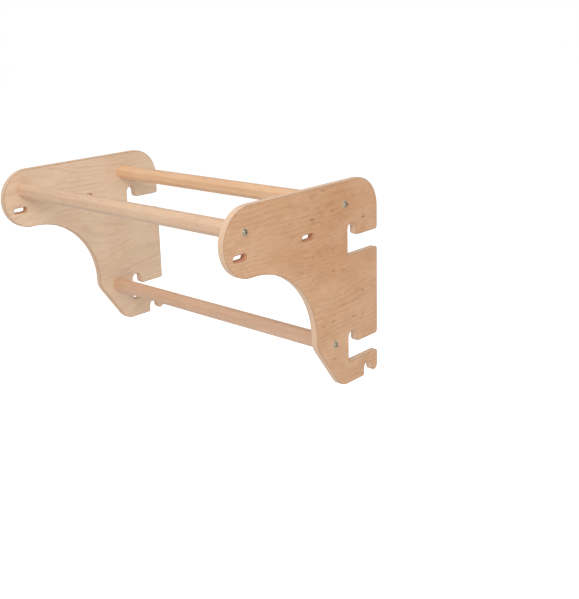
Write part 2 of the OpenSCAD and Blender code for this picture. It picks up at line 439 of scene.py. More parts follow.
@dataclass(frozen=True)
class BirchVeneer(Finish):
    """Clear lacquered birch veneer on the two faces of a side panel, its grain along Y.

    Its ground goes from pale to deep in fine wisps and leans to warm in broad patches.
    """

    name: str
    pale: Colour
    deep: Colour
    warm: Colour
    band: Colour
    fleck: Colour
    fleck_share: float
    fleck_centre: Triple
    fleck_reach: float = 0.16
    bands_per_metre: float = 95.0
    wander: float = 10.0
    band_strength: float = 0.25
    stain: float = 0.4
    fleck_strength: float = 0.7
    tint_scale: Triple = (160.0, 14.0, 22.0)
    hue_scale: Triple = (40.0, 3.5, 9.0)
    cloud_scale: Triple = (90.0, 34.0, 95.0)
    wisp_range: Span = (0.57, 1.33)
    hue_range: Span = (0.3, 0.62)
    cloud_range: Span = (0.52, 0.68)
    warm_reach: Span = (0.08, 0.3)
    warm_near: float = 0.6
    warm_far: float = 0.12
    least_roughness: float = 0.40
    smudge_roughness: float = 0.16
    fibre_roughness: float = 0.08
    relief: float = 0.03 * MM
    specular: float = 0.35

    def draw(self, sheet: Sheet, shader: bpy.types.Node) -> None:
        """Draws the veneer's figure, its flecks and the sheen of the lacquer.

        Args:
            sheet: The material's node tree.
            shader: Its Principled shader.
        """
        position = self.position(sheet)
        figure = {"Position": position, "Bands Per Metre": self.bands_per_metre, "Wander": self.wander}
        grain = sheet.group(WoodGrain().tree(), figure).outputs
        tint = sheet.noise(sheet.vector("MULTIPLY", position, self.tint_scale), detail=4.0, roughness=0.6)
        mottle = sheet.sum("MULTIPLY_ADD", grain["Fibres"], 0.5, sheet.sum("MULTIPLY", grain["Streaks"], 0.8))
        share = sheet.ramp(sheet.sum("ADD", mottle, sheet.sum("MULTIPLY", tint, 0.6)), *self.wisp_range)
        offset = sheet.vector("SUBTRACT", position, self.fleck_centre)
        away = sheet.node("ShaderNodeVectorMath", {0: offset}, operation="LENGTH").outputs["Value"]
        hue = sheet.noise(sheet.vector("MULTIPLY", position, self.hue_scale), detail=2.0)
        fading = sheet.ramp(away, *self.warm_reach, self.warm_near, self.warm_far)
        warmth = sheet.sum("MULTIPLY", sheet.ramp(hue, *self.hue_range), fading)
        ground = sheet.blend(warmth, sheet.blend(share, self.pale, self.deep), self.warm)
        banded = sheet.blend(sheet.sum("MULTIPLY", grain["Bands"], self.band_strength), ground, self.band)
        near = sheet.ramp(away, self.fleck_reach * 0.3, self.fleck_reach, 1.0, 0.0)
        crowd = sheet.sum("MULTIPLY_ADD", near, self.fleck_share * 3.0, self.fleck_share)
        clouds = sheet.noise(sheet.vector("MULTIPLY", position, self.cloud_scale), detail=3.0, roughness=0.6)
        crowded = sheet.sum("MULTIPLY_ADD", near, 0.75, 0.25)
        cloudy = sheet.sum("MULTIPLY", sheet.ramp(clouds, *self.cloud_range), crowded)
        banded = sheet.blend(sheet.sum("MULTIPLY", cloudy, self.stain), banded, self.band)
        flecks = sheet.group(Flecks().tree(), {"Position": position, "Share": crowd}).outputs["Mask"]
        colour = sheet.blend(sheet.sum("MULTIPLY", flecks, self.fleck_strength), banded, self.fleck)
        sheet.put(shader.inputs["Base Color"], colour)
        marks = sheet.group(Handling().tree(), {"Position": position}).outputs
        rough = sheet.sum("MULTIPLY_ADD", marks["Smudges"], self.smudge_roughness, self.least_roughness)
        rough = sheet.sum("MULTIPLY_ADD", grain["Fibres"], self.fibre_roughness, rough)
        sheet.put(shader.inputs["Roughness"], rough)
        height = sheet.sum("MULTIPLY_ADD", flecks, -0.8, grain["Height"])
        sheet.put(shader.inputs["Normal"], self.bump(sheet, height, self.relief))
        shader.inputs["Specular IOR Level"].default_value = self.specular


@dataclass(frozen=True)
class PlywoodEdge(Finish):
    """The cut and rounded edge of a side panel: plies with their grain along Y and along Z by turns."""

    name: str
    pale: Colour
    end_grain: Colour
    glue: Colour
    face: Colour
    inner_x: float
    thickness: float
    plies: int = 11
    glue_width: float = 0.10
    glue_strength: float = 0.6
    face_strength: float = 0.8
    wave_scale: Triple = (0.0, 45.0, 45.0)
    wave_height: float = 0.16
    bands_per_metre: float = 60.0
    pore_scale: Triple = (2600.0, 1500.0, 1500.0)
    pore_range: Span = (0.3, 0.6)
    pore_floor: float = 0.45
    tone_range: Span = (-0.2, 1.2)
    least_roughness: float = 0.46
    smudge_roughness: float = 0.14
    relief: float = 0.06 * MM
    specular: float = 0.35

    def draw(self, sheet: Sheet, shader: bpy.types.Node) -> None:
        """Draws the plies, the glue lines between them and the pores of the end grain.

        Args:
            sheet: The material's node tree.
            shader: Its Principled shader.
        """
        position = self.position(sheet)
        x, _, _ = sheet.parts(position)
        depth = sheet.sum("SUBTRACT", sheet.sum("ABSOLUTE", x), self.inner_x)
        level = sheet.sum("MULTIPLY", depth, self.plies / self.thickness)
        wavy = sheet.noise(sheet.vector("MULTIPLY", position, self.wave_scale), detail=2.0)
        wave = sheet.sum("MULTIPLY_ADD", wavy, self.wave_height, -self.wave_height / 2)
        level = sheet.sum("ADD", level, wave)
        ply = sheet.sum("FLOOR", level)
        crossed = sheet.sum("FLOORED_MODULO", ply, 2.0)
        normal = sheet.node("ShaderNodeNewGeometry", {}).outputs["Normal"]
        _, facing_y, facing_z = sheet.parts(sheet.vector("MULTIPLY", normal, normal))
        end_share = sheet.node("ShaderNodeMix", {0: crossed, 2: facing_y, 3: facing_z}).outputs[0]
        figure = {"Position": position, "Bands Per Metre": self.bands_per_metre}
        grain = sheet.group(WoodGrain().tree(), figure).outputs
        own = sheet.node("ShaderNodeTexWhiteNoise", {"W": ply}, noise_dimensions="1D").outputs["Value"]
        pores = sheet.noise(sheet.vector("MULTIPLY", position, self.pore_scale), detail=1.0)
        dark = sheet.sum("MULTIPLY", end_share, sheet.ramp(pores, *self.pore_range, self.pore_floor, 1.0))
        dark = sheet.sum("MULTIPLY_ADD", sheet.sum("SUBTRACT", own, 0.5), 0.35, dark)
        dark = sheet.sum("MULTIPLY_ADD", sheet.sum("SUBTRACT", grain["Streaks"], 0.5), 0.5, dark)
        wood = sheet.blend(sheet.ramp(dark, *self.tone_range), self.pale, self.end_grain)
        nearest = sheet.sum("PINGPONG", level, 0.5)
        seam = sheet.ramp(nearest, self.glue_width * 0.4, self.glue_width, 1.0, 0.0)
        past_first = sheet.ramp(level, 0.4, 0.7)
        before_last = sheet.ramp(level, self.plies - 0.7, self.plies - 0.4, 1.0, 0.0)
        inside = sheet.sum("MULTIPLY", past_first, before_last)
        seam = sheet.sum("MULTIPLY", seam, inside)
        # The outermost plies, which lie on the rounded edges, are drawn darker: a dark line along both
        # borders of the edge.
        outermost = sheet.sum("SUBTRACT", 1.0, inside)
        wood = sheet.blend(sheet.sum("MULTIPLY", outermost, self.face_strength), wood, self.face)
        colour = sheet.blend(sheet.sum("MULTIPLY", seam, self.glue_strength), wood, self.glue)
        sheet.put(shader.inputs["Base Color"], colour)
        marks = sheet.group(Handling().tree(), {"Position": position}).outputs
        rough = sheet.sum("MULTIPLY_ADD", marks["Smudges"], self.smudge_roughness, self.least_roughness)
        sheet.put(shader.inputs["Roughness"], rough)
        height = sheet.sum("MULTIPLY_ADD", seam, -0.6, sheet.sum("MULTIPLY", pores, end_share))
        sheet.put(shader.inputs["Normal"], self.bump(sheet, height, self.relief))
        shader.inputs["Specular IOR Level"].default_value = self.specular


@dataclass(frozen=True)
class PlanedWood(Finish):
    """Clear lacquered planed hardwood, its grain along X and its rings round a pith beside the rung."""

    name: str
    pale: Colour
    deep: Colour
    fleck: Colour
    axis: Span
    pith: Span = (0.055, -0.035)
    rings_per_metre: float = 420.0
    wander: float = 5.0
    swell_across: float = 9.0
    swell_along: float = 2.6
    turn_length: float = 0.06
    tint_scale: Triple = (14.0, 3.0, 40.0)
    line_scale: Triple = (300.0, 4.0, 300.0)
    tone_range: Span = (0.42, 1.15)
    fleck_share: float = 0.05
    fleck_strength: float = 0.3
    least_roughness: float = 0.38
    smudge_roughness: float = 0.16
    relief: float = 0.04 * MM
    specular: float = 0.4

    def draw(self, sheet: Sheet, shader: bpy.types.Node) -> None:
        """Draws the rings where the rung's flats cut them, with fibres along the rung.

        Args:
            sheet: The material's node tree.
            shader: Its Principled shader.
        """
        position = self.position(sheet)
        x, y, z = sheet.parts(position)
        from_y = sheet.sum("SUBTRACT", y, self.axis[0] + self.pith[0])
        from_z = sheet.sum("SUBTRACT", z, self.axis[1] + self.pith[1])
        squares = sheet.sum("MULTIPLY_ADD", from_y, from_y, sheet.sum("MULTIPLY", from_z, from_z))
        radius = sheet.sum("SQRT", squares)
        turn = sheet.sum("MULTIPLY", sheet.sum("ARCTAN2", from_z, from_y), self.turn_length)
        place = sheet.join(turn, x, radius)
        settings = {"Position": place, "Bands Per Metre": self.rings_per_metre, "Wander": self.wander,
                    "Swell Across": self.swell_across, "Swell Along": self.swell_along}
        grain = sheet.group(WoodGrain().tree(), settings).outputs
        tint = sheet.noise(sheet.vector("MULTIPLY", place, self.tint_scale), detail=2.0)
        lines = sheet.noise(sheet.vector("MULTIPLY", place, self.line_scale), detail=3.0)
        mottle = sheet.sum("MULTIPLY_ADD", grain["Fibres"], 0.3, sheet.sum("MULTIPLY", grain["Streaks"], 0.5))
        mottle = sheet.sum("MULTIPLY_ADD", lines, 0.5, mottle)
        share = sheet.sum("ADD", mottle, sheet.sum("MULTIPLY_ADD", tint, 0.5, -0.2))
        share = sheet.sum("ADD", share, sheet.sum("MULTIPLY", grain["Bands"], 0.25))
        ground = sheet.blend(sheet.ramp(share, *self.tone_range), self.pale, self.deep)
        flecks = sheet.group(Flecks().tree(), {"Position": place, "Share": self.fleck_share}).outputs["Mask"]
        colour = sheet.blend(sheet.sum("MULTIPLY", flecks, self.fleck_strength), ground, self.fleck)
        sheet.put(shader.inputs["Base Color"], colour)
        marks = sheet.group(Handling().tree(), {"Position": position}).outputs
        rough = sheet.sum("MULTIPLY_ADD", marks["Smudges"], self.smudge_roughness, self.least_roughness)
        sheet.put(shader.inputs["Roughness"], rough)
        sheet.put(shader.inputs["Normal"], self.bump(sheet, grain["Height"], self.relief))
        shader.inputs["Specular IOR Level"].default_value = self.specular


@dataclass(frozen=True)
class PlatedMetal(Finish):
    """A plain or plated metal with a cloudy sheen and fine scratches."""

    name: str
    bright: Colour
    dull: Colour
    roughness: float
    smudge_scale: float = 240.0
    scratch_scale: float = 900.0
    cloud_roughness: float = 0.18
    scratch_roughness: float = 0.15
    cloud_range: Span = (0.3, 0.7)
    relief: float = 0.01 * MM

    def draw(self, sheet: Sheet, shader: bpy.types.Node) -> None:
        """Draws the cloudy plating and its scratches.

        Args:
            sheet: The material's node tree.
            shader: Its Principled shader.
        """
        position = self.position(sheet)
        settings = {"Position": position, "Smudge Scale": self.smudge_scale,
                    "Scratch Scale": self.scratch_scale}
        marks = sheet.group(Handling().tree(), settings).outputs
        cloud = sheet.ramp(marks["Smudges"], *self.cloud_range)
        sheet.put(shader.inputs["Base Color"], sheet.blend(cloud, self.bright, self.dull))
        rough = sheet.sum("MULTIPLY_ADD", cloud, self.cloud_roughness, self.roughness)
        rough = sheet.sum("MULTIPLY_ADD", marks["Scratches"], self.scratch_roughness, rough)
        sheet.put(shader.inputs["Roughness"], rough)
        height = sheet.sum("MULTIPLY_ADD", marks["Scratches"], -1.0, marks["Smudges"])
        sheet.put(shader.inputs["Normal"], self.bump(sheet, height, self.relief))
        shader.inputs["Metallic"].default_value = 1.0


@dataclass(frozen=True)
class PaleFloor(Finish):
    """A plain matt pale floor."""

    name: str = "pale_floor"
    light: Colour = field(default_factory=lambda: srgb(250, 250, 250))
    shade: Colour = field(default_factory=lambda: srgb(245, 245, 245))
    glow: float = 0.7
    mottle_scale: Triple = (3.0, 3.0, 3.0)
    roughness: float = 0.9
    specular: float = 0.1

    def draw(self, sheet: Sheet, shader: bpy.types.Node) -> None:
        """Draws a very faint mottle and a glow that only the camera sees.

        Args:
            sheet: The material's node tree.
            shader: Its Principled shader.
        """
        mottle = sheet.noise(sheet.vector("MULTIPLY", self.position(sheet), self.mottle_scale), detail=3.0)
        sheet.put(shader.inputs["Base Color"], sheet.blend(mottle, self.light, self.shade))
        seen = sheet.node("ShaderNodeLightPath", {}).outputs["Is Camera Ray"]
        sheet.put(shader.inputs["Emission Strength"], sheet.sum("MULTIPLY", seen, self.glow))
        shader.inputs["Emission Color"].default_value = WHITE
        shader.inputs["Roughness"].default_value = self.roughness
        shader.inputs["Specular IOR Level"].default_value = self.specular


@dataclass(frozen=True)
class Ring:
    """One ring of a piece round an axis: its place along the axis and its radius.

    A ring with flats is a regular polygon, its radius measured to the middle of a flat. Its corners may be
    softened.
    """

    at: float
    radius: float
    flats: int = 0
    softening: float = 0.0

    def reach(self, angle: float) -> float:
        """How far out the ring is at an angle from the middle of its first flat.

        Args:
            angle: The angle round the axis.

        Returns:
            The distance from the axis.
        """
        if not self.flats:
            return self.radius
        corner = math.pi / self.flats
        off = abs((angle + corner) % (2 * corner) - corner)
        if self.radius * math.tan(off) <= (self.radius - self.softening) * math.tan(corner):
            return self.radius / math.cos(off)
        centre = (self.radius - self.softening) / math.cos(corner)
        across = centre * math.sin(corner - off)
        return centre * math.cos(corner - off) + math.sqrt(self.softening ** 2 - across ** 2)


class Piece:
    """What every new piece of the bar shares: it becomes an object, has its finish and rides on its body."""

    @staticmethod
    def place(name: str, shape: bmesh.types.BMesh, slot: Slot, finishes: Sequence[Finish],
              replaced: str) -> bpy.types.Object:
        """Makes an object of a finished shape and puts it in place of a CAD node.

        Args:
            name: The new piece's name.
            shape: Its mesh, in the frame. It is freed here.
            slot: The record's material slot of the piece. It is not used.
            finishes: The finishes of its material slots, in order.
            replaced: The CAD node that it stands for.

        Returns:
            The new object.
        """
        mesh = bpy.data.meshes.new(name)
        shape.to_mesh(mesh)
        shape.free()
        for polygon in mesh.polygons:
            polygon.use_smooth = True
        mesh.set_sharp_from_angle(angle=SHARP_ANGLE)
        for finish in finishes:
            mesh.materials.append(finish.material())
        made = bpy.data.objects.new(name, mesh)
        bpy.context.scene.collection.objects.link(made)
        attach(made, BODY)
        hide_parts(replaced)
        log.info("%s stands for %s, with %d faces", name, replaced, len(mesh.polygons))
        return made


class Turning(Piece):
    """Makes pieces that are built of rings round an axis along X."""

    @staticmethod
    def turned(rings: Sequence[Ring], axis: Vector, outward: float, angles: Sequence[float],
               closed: bool) -> bmesh.types.BMesh:
        """Joins rings into a closed mesh.

        Args:
            rings: The profile from one end to the other. A radius of 0 makes a point on the axis.
            axis: A point on the axis, from which the rings' places count.
            outward: 1 if the places count along +X, or -1 along -X.
            angles: The angles at which each ring has a point, in order.
            closed: True if the last ring joins the first, as on a washer.

        Returns:
            The mesh.
        """
        shape = bmesh.new()
        rows = []
        for ring in rings:
            x = axis.x + outward * ring.at
            if ring.radius == 0:
                rows.append([shape.verts.new((x, axis.y, axis.z))] * len(angles))
                continue
            row = []
            for angle in angles:
                reach = ring.reach(angle)
                y, z = axis.y + reach * math.cos(angle), axis.z + reach * math.sin(angle)
                row.append(shape.verts.new((x, y, z)))
            rows.append(row)
        pairs = list(zip(rows, rows[1:])) + ([(rows[-1], rows[0])] if closed else [])
        for first, second in pairs:
            for step in range(len(angles)):
                after = (step + 1) % len(angles)
                corners = [first[step], first[after], second[after], second[step]]
                shape.faces.new(dict.fromkeys(corners))
        bmesh.ops.recalc_face_normals(shape, faces=shape.faces)
        return shape

    @staticmethod
    def even(count: int) -> list[float]:
        """Angles in even steps round the axis."""
        return [math.tau * step / count for step in range(count)]

    @staticmethod
    def rounded(corner: tuple[float, float], start: tuple[float, float], end: tuple[float, float],
                radius: float, steps: int = 4) -> list[Ring]:
        """Rings that round a square corner of a profile.

        Args:
            corner: Place and radius of the sharp corner.
            start: Direction from the corner back along the profile, a unit step.
            end: Direction from the corner on along the profile, a unit step.
            radius: The rounding's radius.
            steps: How many parts the rounding has.

        Returns:
            The rings, in order.
        """
        centre = [corner[i] + radius * (start[i] + end[i]) for i in (0, 1)]
        rings = []
        for step in range(steps + 1):
            angle = math.pi / 2 * step / steps
            cos, sin = math.cos(angle), math.sin(angle)
            rings.append(Ring(*(centre[i] - radius * (end[i] * cos + start[i] * sin) for i in (0, 1))))
        return rings


@dataclass
class SidePanel(Piece):
    """One plywood side panel. Its outline and holes are the CAD board's, and its edges are rounded."""

    side: Side
    face: BirchVeneer
    edge: PlywoodEdge
    # The finish of the hole walls, darker for painted shade inside the holes.
    shaded_slot_wall: PlywoodEdge
    round_over: float = 1.6 * MM
    hole_round: float = 0.4 * MM
    small_hole: float = 10 * MM
    support: float = 0.5 * MM
    steps: int = 5

    def outline_loops(self) -> list[list[Vector]]:
        """Reads the board's outline and holes from its CAD node.

        Returns:
            Loops of points in the Y-Z plane with the wood on their left, the outline first.
        """
        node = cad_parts[f"{self.side.word}_side_panel"]
        flat = bmesh.new()
        flat.from_mesh(node.data)
        bmesh.ops.remove_doubles(flat, verts=flat.verts, dist=SAME_POINT)
        low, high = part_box(node.name)
        plane = high.x if self.side is Side.RIGHT else low.x
        faces = {f for f in flat.faces if all(abs(v.co.x - plane) < SAME_PLANE for v in f.verts)}
        rim = [e for e in flat.edges if sum(f in faces for f in e.link_faces) == 1]
        following: dict[bmesh.types.BMVert, list[bmesh.types.BMVert]] = {}
        for edge in rim:
            for one, other in (edge.verts, reversed(edge.verts)):
                following.setdefault(one, []).append(other)
        loops = []
        while following:
            start = next(iter(following))
            loop, before, here = [], None, start
            while here in following:
                loop.append(Vector((here.co.y, here.co.z)))
                ahead = [v for v in following.pop(here) if v is not before]
                before, here = here, ahead[0]
            loops.append(loop)
        flat.free()
        loops.sort(key=lambda loop: -abs(self.area(loop)))
        turned = [loops[0] if self.area(loops[0]) > 0 else loops[0][::-1]]
        return turned + [loop if self.area(loop) < 0 else loop[::-1] for loop in loops[1:]]

    @staticmethod
    def area(loop: Sequence[Vector]) -> float:
        """The signed area inside a loop, above 0 if it runs anticlockwise."""
        return sum(a.x * b.y - b.x * a.y for a, b in zip(loop, list(loop[1:]) + [loop[0]])) / 2

    @staticmethod
    def inward(loop: Sequence[Vector]) -> list[Vector]:
        """For each point of a loop, finds the step that moves its two edges one unit into the wood.

        Args:
            loop: The points in order, with the wood on their left.

        Returns:
            One step for each point.
        """
        steps = []
        for index, here in enumerate(loop):
            before = (here - loop[index - 1]).normalized()
            after = (loop[(index + 1) % len(loop)] - here).normalized()
            first, second = Vector((-before.y, before.x)), Vector((-after.y, after.x))
            steps.append((first + second) / (1 + first.dot(second)))
        return steps

    def profile(self, radius: float) -> list[tuple[float, float]]:
        """Draws the rounded edge from the wall to the face.

        Args:
            radius: The rounding's radius.

        Returns:
            Points of it: how far each is in from the outline, and how far from the face.
        """
        arc = []
        for step in range(self.steps + 1):
            angle = math.pi / 2 * step / self.steps
            arc.append((radius * (1 - math.cos(angle)), radius * (1 - math.sin(angle))))
        return [(0.0, radius + self.support), *arc, (radius + self.support, 0.0)]

    def build(self) -> bpy.types.Object:
        """Builds the board: rounded edges round the outline and each hole, and two flat faces between them.

        Returns:
            The board.
        """
        low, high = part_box(f"{self.side.word}_side_panel")
        shape = bmesh.new()
        face_rims: dict[float, list[bmesh.types.BMEdge]] = {low.x: [], high.x: []}
        for order, loop in enumerate(self.outline_loops()):
            width = max(p.x for p in loop) - min(p.x for p in loop)
            profile = self.profile(self.hole_round if width < self.small_hole else self.round_over)
            places = [(low.x + depth, inset) for inset, depth in reversed(profile)]
            places += [(high.x - depth, inset) for inset, depth in profile]
            inward = self.inward(loop)
            rows = [[shape.verts.new((x, *(point + step * inset))) for point, step in zip(loop, inward)]
                    for x, inset in places]
            for first, second in zip(rows, rows[1:]):
                for index in range(len(loop)):
                    after = (index + 1) % len(loop)
                    quad = shape.faces.new((first[index], first[after], second[after], second[index]))
                    # The outline's walls take the plywood edge, and every hole's walls the darker finish with
                    # painted shade.
                    quad.material_index = min(order, 1) + 1
            for x, row in ((low.x, rows[0]), (high.x, rows[-1])):
                for index, vertex in enumerate(row):
                    face_rims[x].append(shape.edges.get((vertex, row[(index + 1) % len(row)])))
        for rim in face_rims.values():
            bmesh.ops.triangle_fill(shape, use_beauty=True, edges=rim)
        bmesh.ops.recalc_face_normals(shape, faces=shape.faces)
        name = f"plywood_board_{self.side.word}"
        return self.place(name, shape, Slot.PLYWOOD, (self.face, self.edge, self.shaded_slot_wall),
                          f"{self.side.word}_side_panel")


@dataclass
class Rung(Turning):
    """One eight-sided rung with softened edges, and a bore for the threaded insert in each end."""

    where: RungPlace
    finish: PlanedWood
    flats: int = 8
    softening: float = 2.5 * MM
    edge_steps: int = 6
    flat_shares: tuple[float, ...] = (-1.0, -0.85, 0.0, 0.85)
    chamfer: float = 0.8 * MM
    collar_radius: float = 8.05 * MM
    collar_depth: float = 1.2 * MM
    bore_radius: float = 6.05 * MM
    bore_depth: float = 28 * MM
    steady_every: float = 90 * MM

    def angles(self, radius: float) -> list[float]:
        """Angles for the points of a section: close together round each softened edge, wider on the flats.

        Args:
            radius: The distance from the axis to a flat.

        Returns:
            The angles, in order.
        """
        corner = math.pi / self.flats
        turn = math.atan((radius - self.softening) * math.tan(corner) / radius)
        found = []
        for flat in range(self.flats):
            middle = 2 * corner * flat
            found += [middle + turn * share for share in self.flat_shares]
            edge = 2 * (corner - turn)
            found += [middle + turn + edge * step / self.edge_steps for step in range(self.edge_steps)]
        return found

    def build(self) -> bpy.types.Object:
        """Builds the rung at the place and size of its CAD node.

        Returns:
            The rung.
        """
        low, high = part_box(f"{self.where.value}_rung")
        half, radius = (high.x - low.x) / 2, (high.z - low.z) / 2
        end = [Ring(half - self.bore_depth, 0.0), Ring(half - self.bore_depth, self.bore_radius),
               Ring(half - self.collar_depth, self.bore_radius),
               Ring(half - self.collar_depth, self.collar_radius), Ring(half, self.collar_radius)]
        section = Ring(half, radius, self.flats, self.softening)
        chamfer = self.rounded((half, radius), (0.0, -1.0), (-1.0, 0.0), self.chamfer)
        end += [replace(section, at=ring.at, radius=ring.radius) for ring in chamfer]
        spans = int((half - self.chamfer) / self.steady_every)
        body = [replace(section, at=self.steady_every * step) for step in range(spans, -spans - 1, -1)]
        mirrored = [replace(ring, at=-ring.at) for ring in reversed(end)]
        shape = self.turned(end + body + mirrored, (low + high) / 2, 1.0, self.angles(radius), closed=False)
        name = f"eight_sided_rung_{self.where.value}"
        return self.place(name, shape, Slot.RUNG, (self.finish,), f"{self.where.value}_rung")


@dataclass
class Fastening(Turning):
    """What holds one rung end: a button head bolt with a hexagon socket, its washer and its insert."""

    where: RungPlace
    side: Side
    zinc: PlatedMetal
    washer_zinc: PlatedMetal
    brass: PlatedMetal
    head_radius: float = 6.6 * MM
    head_height: float = 4.4 * MM
    rim_height: float = 1 * MM
    shank_radius: float = 4 * MM
    socket_half: float = 2.5 * MM
    socket_depth: float = 2.6 * MM
    thread_pitch: float = 1.25 * MM
    thread_depth: float = 0.3 * MM
    segments: int = 72
    dome_steps: int = 8
    dome_mouth: float = 1.32
    rim_round: float = 0.25 * MM
    tip_chamfer: float = 0.8 * MM
    threaded_share: float = 0.6
    plain_share: float = 0.35
    crest_at: float = 0.25
    root_at: float = 0.6
    socket_flare: float = 1.08
    socket_chamfer: float = 0.25 * MM
    drill_share: float = 0.8
    drill_depth: float = 0.5 * MM
    washer_gap: float = 0.3 * MM
    washer_round: float = 0.3 * MM
    soft_steps: int = 3

    @property
    def tail(self) -> str:
        """The end of the CAD nodes' names for this rung end."""
        return f"{self.where.value}_{self.side.word}"

    def axis_at(self, node: str, outer: bool) -> Vector:
        """Finds the point on a CAD node's axis at one of its ends.

        Args:
            node: The node's name.
            outer: True for the end away from the bar's middle.

        Returns:
            The point.
        """
        low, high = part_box(node)
        middle = (low + high) / 2
        middle.x = high.x if (self.side is Side.RIGHT) == outer else low.x
        return middle

    def dome(self) -> list[Ring]:
        """Draws the head's round top.

        Returns:
            Its rings, from the rim inwards to the socket.
        """
        rise = self.head_height - self.rim_height
        ball = (self.head_radius ** 2 + rise ** 2) / (2 * rise)
        rings = []
        for step in range(1, self.dome_steps + 1):
            inwards = self.socket_half * self.dome_mouth - self.head_radius
            radius = self.head_radius + inwards * step / self.dome_steps
            rings.append(Ring(self.head_height - ball + math.sqrt(ball ** 2 - radius ** 2), radius))
        return rings

    def bolt(self) -> bpy.types.Object:
        """Builds the bolt. Its places count from the washer's outer face.

        Returns:
            The bolt.
        """
        seat = self.axis_at(f"washer_{self.tail}", outer=True)
        tip = abs(self.axis_at(f"bolt_{self.tail}", outer=False).x - seat.x)
        rings = [Ring(-tip, 0.0), Ring(-tip, self.shank_radius - self.tip_chamfer),
                 Ring(-tip + self.tip_chamfer, self.shank_radius)]
        turns = int((tip * self.threaded_share) / self.thread_pitch)
        for turn in range(1, turns):
            at = -tip + turn * self.thread_pitch
            rings += [Ring(at + self.thread_pitch * self.crest_at, self.shank_radius),
                      Ring(at + self.thread_pitch * self.root_at, self.shank_radius - self.thread_depth)]
        rings += [Ring(-tip * self.plain_share, self.shank_radius), Ring(0.0, self.shank_radius)]
        foot = (0.0, self.head_radius)
        rings += self.rounded(foot, (0.0, -1.0), (1.0, 0.0), self.rim_round, self.soft_steps)
        rings += [Ring(self.rim_height, self.head_radius), *self.dome()]
        mouth = rings[-1].at
        floor = self.head_height - self.socket_depth
        socket = Ring(mouth, self.socket_half * self.socket_flare, flats=6)
        rings += [socket, replace(socket, at=mouth - self.socket_chamfer, radius=self.socket_half),
                  replace(socket, at=floor, radius=self.socket_half),
                  Ring(floor, self.socket_half * self.drill_share), Ring(floor - self.drill_depth, 0.0)]
        shape = self.turned(rings, seat, self.side.value, self.even(self.segments), closed=False)
        return self.place(f"socket_bolt_{self.tail}", shape, Slot.ZINC, (self.zinc,), f"bolt_{self.tail}")

    def washer(self) -> bpy.types.Object:
        """Builds the washer with softened edges. Its places count from the panel's outer face.

        Returns:
            The washer.
        """
        node = f"washer_{self.tail}"
        low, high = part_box(node)
        thick, outer = high.x - low.x, (high.z - low.z) / 2
        hole = self.shank_radius + self.washer_gap
        rings = self.rounded((0.0, outer), (0.0, -1.0), (1.0, 0.0), self.washer_round, self.soft_steps)
        rings += self.rounded((thick, outer), (-1.0, 0.0), (0.0, -1.0), self.washer_round, self.soft_steps)
        rings += [Ring(thick, hole), Ring(0.0, hole)]
        inner_end, angles = self.axis_at(node, outer=False), self.even(self.segments)
        shape = self.turned(rings, inner_end, self.side.value, angles, closed=True)
        return self.place(f"washer_ring_{self.tail}", shape, Slot.ZINC, (self.washer_zinc,), node)

    def insert(self) -> None:
        """Dresses the CAD node of the insert, which keeps its shape inside the rung's end."""
        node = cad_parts[f"insert_{self.tail}"]
        node.data.materials.clear()
        node.data.materials.append(self.brass.material())
        log.info("%s keeps its CAD shape", node.name)

    def build(self) -> None:
        """Builds the bolt and the washer and dresses the insert."""
        self.bolt()
        self.washer()
        self.insert()


